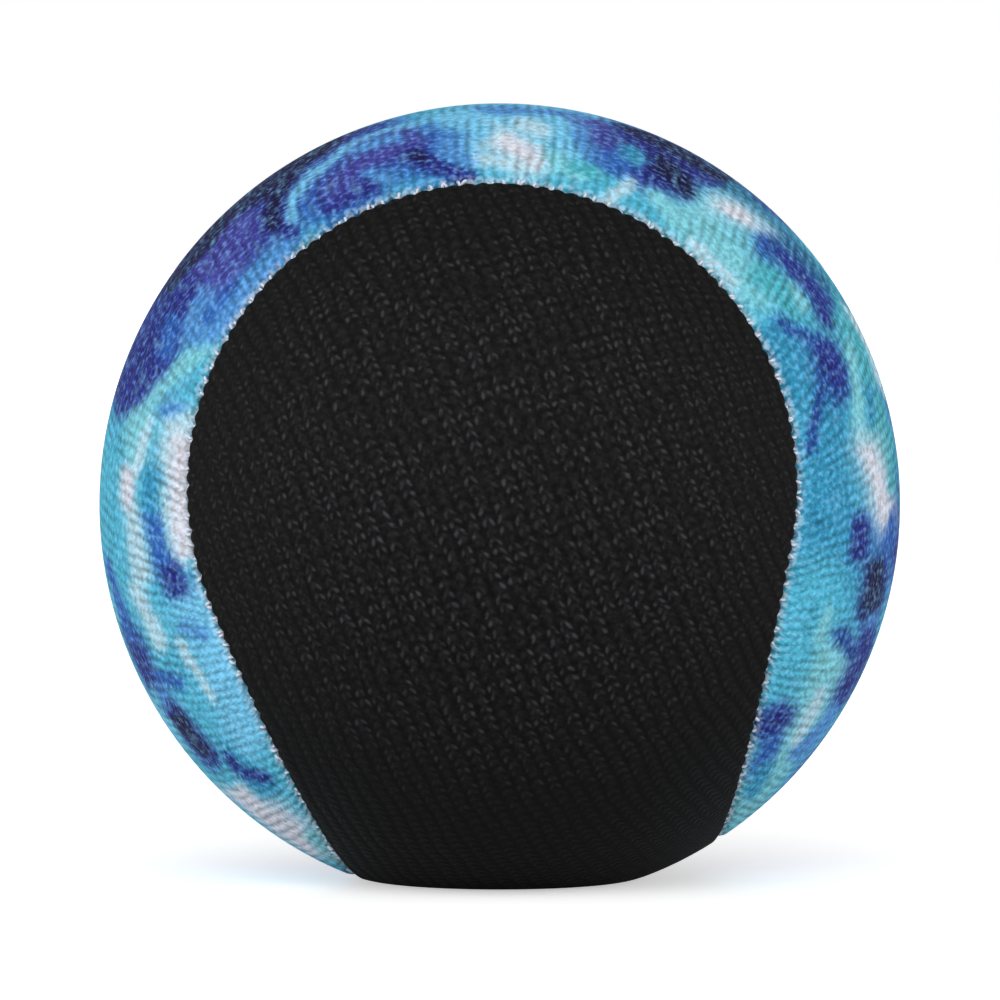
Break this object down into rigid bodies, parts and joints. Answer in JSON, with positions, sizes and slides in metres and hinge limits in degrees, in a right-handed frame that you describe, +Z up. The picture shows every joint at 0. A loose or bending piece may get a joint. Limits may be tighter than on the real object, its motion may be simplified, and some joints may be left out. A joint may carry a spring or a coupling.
{
  "type": "water bouncing ball",
  "caption": "Soft buoyant ball that skips on water: a gel core in a stretch-knit cover of interlocking dog-bone panels, black and tie-dyed, sewn edge to edge along a winding seam.",
  "frame": {"origin": "middle of the flat that the ball rests on, at the bottom centre of its box", "axes": "+Z up, away from the surface it rests on; -Y towards the viewer, where the black panel's front lobe is; +X to the viewer's right"},
  "size_m": [0.056, 0.0559, 0.0543],
  "materials": {
    "gel": "soft translucent thermoplastic gel, satin",
    "black_knit": "black stretch knit, matt with fine bright flecks on its loops",
    "dyed_knit": "tie-dyed stretch knit in cyan, blue, indigo and white, soft sheen",
    "thread": "white polyester sewing thread"
  },
  "bodies": {
    "root": {"gel_core": "gel", "black_panel": "black_knit", "dyed_panel": "dyed_knit", "seam_thread": "thread", "closing_thread": "thread"}
  },
  "joints": []
}
